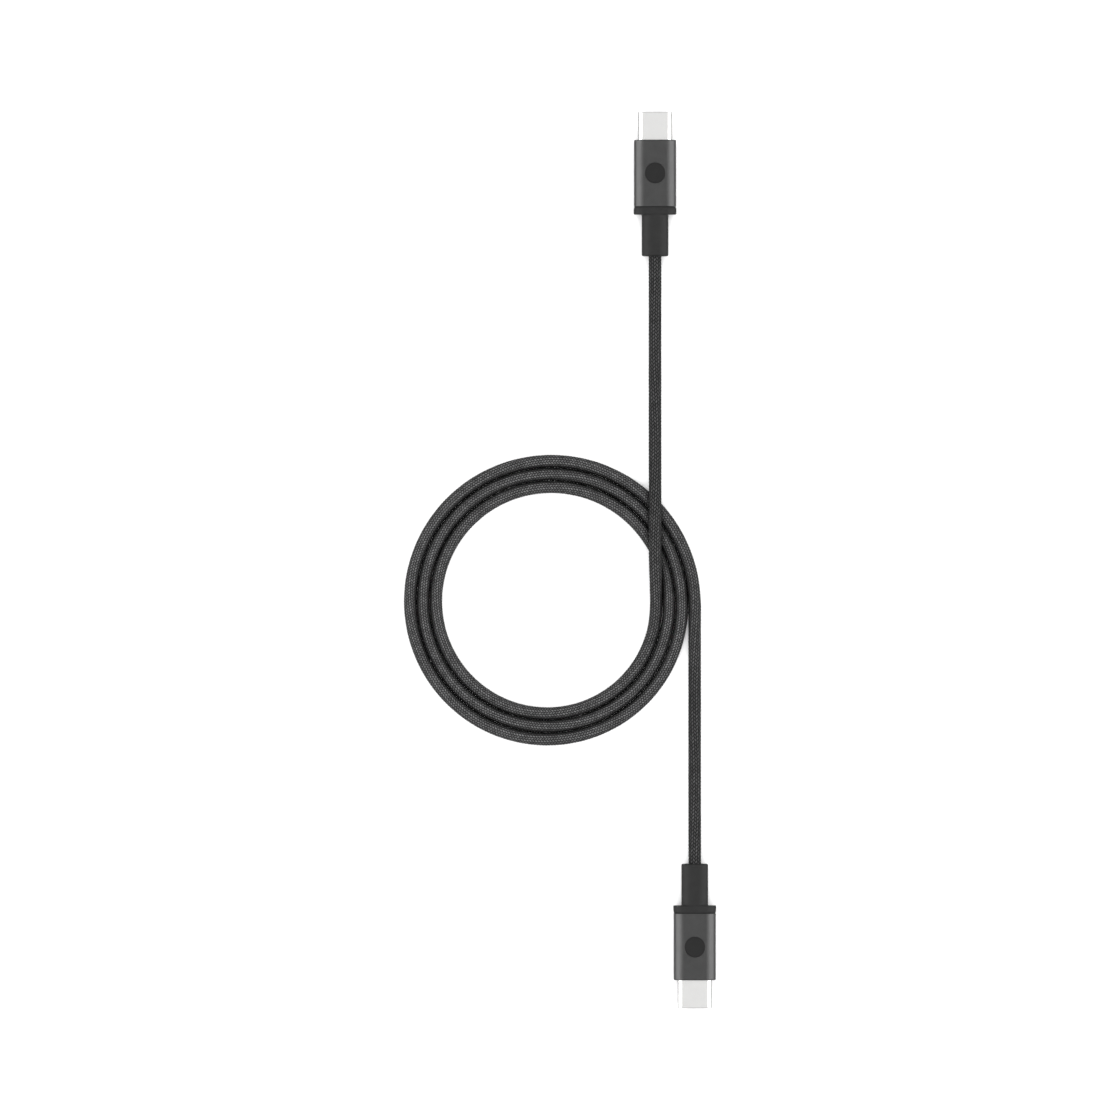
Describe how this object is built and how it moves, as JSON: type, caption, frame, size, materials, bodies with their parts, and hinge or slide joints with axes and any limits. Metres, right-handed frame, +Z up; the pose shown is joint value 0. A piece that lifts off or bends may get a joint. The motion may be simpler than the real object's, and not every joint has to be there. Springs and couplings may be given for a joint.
{
  "type": "charging cable",
  "caption": "Charging cable: a braided cord coiled flat, with a reversible flat-oval plug in a metal sleeve and a bending boot at each end",
  "frame": {"origin": "on the surface the cable lies on, midway between the two plugs", "axes": "+Z up from the surface, +Y towards plug A's mouth along the cable's length, +X to the side on which plug B lies; the coil lies on the -X side"},
  "size_m": [0.0771, 0.2168, 0.0061],
  "materials": {
    "cord_braid": "dark grey woven polyester braid",
    "stainless_shell": "bright drawn stainless steel",
    "anodised_sleeve": "dark grey anodised, fine blasted grain",
    "badge_lacquer": "blank dark disc, satin",
    "boot_elastomer": "matte black thermoplastic elastomer",
    "black_insulator": "black moulded nylon",
    "gold_contacts": "gold plated",
    "spring_steel": "stamped spring steel",
    "circuit_board": "green solder mask",
    "chip_plastic": "moulded chip",
    "tinned_steel": "tin plated",
    "wire_insulation": "coloured wire insulation",
    "ferrule_brass": "plain brass",
    "inner_plastic": "moulded inner body"
  },
  "bodies": {
    "cord": {"cord_lead_a": "cord_braid", "cord_coil": "cord_braid", "cord_lead_b": "cord_braid"},
    "plug_a": {"plug_a_shell": "stainless_shell", "plug_a_front_insulator": "black_insulator", "plug_a_contact_block_upper": "black_insulator", "plug_a_contact_block_lower": "black_insulator", "plug_a_contacts_upper": "gold_contacts", "plug_a_contacts_lower": "gold_contacts", "plug_a_ground_plate": "spring_steel", "plug_a_emi_springs": "spring_steel", "plug_a_paddle_card": "circuit_board", "plug_a_card_components": "chip_plastic", "plug_a_shield_can_upper": "tinned_steel", "plug_a_shield_can_lower": "tinned_steel", "plug_a_conductors": "wire_insulation", "plug_a_cable_tail": "cord_braid", "plug_a_crimp_ferrule": "ferrule_brass", "plug_a_inner_mould": "inner_plastic", "plug_a_sleeve": "anodised_sleeve", "plug_a_badge_disc": "badge_lacquer", "plug_a_strain_relief": "boot_elastomer"},
    "plug_a_latch_arm_left": {"plug_a_latch_left": "spring_steel"},
    "plug_a_latch_arm_right": {"plug_a_latch_right": "spring_steel"},
    "plug_b": {"plug_b_shell": "stainless_shell", "plug_b_front_insulator": "black_insulator", "plug_b_contact_block_upper": "black_insulator", "plug_b_contact_block_lower": "black_insulator", "plug_b_contacts_upper": "gold_contacts", "plug_b_contacts_lower": "gold_contacts", "plug_b_ground_plate": "spring_steel", "plug_b_emi_springs": "spring_steel", "plug_b_paddle_card": "circuit_board", "plug_b_card_components": "chip_plastic", "plug_b_shield_can_upper": "tinned_steel", "plug_b_shield_can_lower": "tinned_steel", "plug_b_conductors": "wire_insulation", "plug_b_cable_tail": "cord_braid", "plug_b_crimp_ferrule": "ferrule_brass", "plug_b_inner_mould": "inner_plastic", "plug_b_sleeve": "anodised_sleeve", "plug_b_badge_disc": "badge_lacquer", "plug_b_strain_relief": "boot_elastomer"},
    "plug_b_latch_arm_left": {"plug_b_latch_left": "spring_steel"},
    "plug_b_latch_arm_right": {"plug_b_latch_right": "spring_steel"}
  },
  "joints": [
    {"name": "plug_a_flex", "type": "hinge", "parent": "cord", "child": "plug_a", "pos_m": [-0.0048, 0.07855, 0.0028], "axis": [0, 0, 1], "range_deg": [-30, 30], "stiffness_Nm_per_rad": 0.03, "deforming": ["plug_a_strain_relief", "plug_a_cable_tail"]},
    {"name": "plug_a_latch_left_spread", "type": "hinge", "parent": "plug_a", "child": "plug_a_latch_arm_left", "pos_m": [-0.00827, 0.098, 0.0028], "axis": [0, 0, 1], "range_deg": [0, 1.2], "stiffness_Nm_per_rad": 0.8},
    {"name": "plug_a_latch_right_spread", "type": "hinge", "parent": "plug_a", "child": "plug_a_latch_arm_right", "pos_m": [-0.00133, 0.098, 0.0028], "axis": [0, 0, -1], "range_deg": [0, 1.2], "stiffness_Nm_per_rad": 0.8},
    {"name": "plug_b_flex", "type": "hinge", "parent": "cord", "child": "plug_b", "pos_m": [0.0048, -0.07855, 0.0028], "axis": [0, 0, 1], "range_deg": [-30, 30], "stiffness_Nm_per_rad": 0.03, "deforming": ["plug_b_strain_relief", "plug_b_cable_tail"]},
    {"name": "plug_b_latch_left_spread", "type": "hinge", "parent": "plug_b", "child": "plug_b_latch_arm_left", "pos_m": [0.00827, -0.098, 0.0028], "axis": [0, 0, 1], "range_deg": [0, 1.2], "stiffness_Nm_per_rad": 0.8},
    {"name": "plug_b_latch_right_spread", "type": "hinge", "parent": "plug_b", "child": "plug_b_latch_arm_right", "pos_m": [0.00133, -0.098, 0.0028], "axis": [0, 0, -1], "range_deg": [0, 1.2], "stiffness_Nm_per_rad": 0.8}
  ]
}
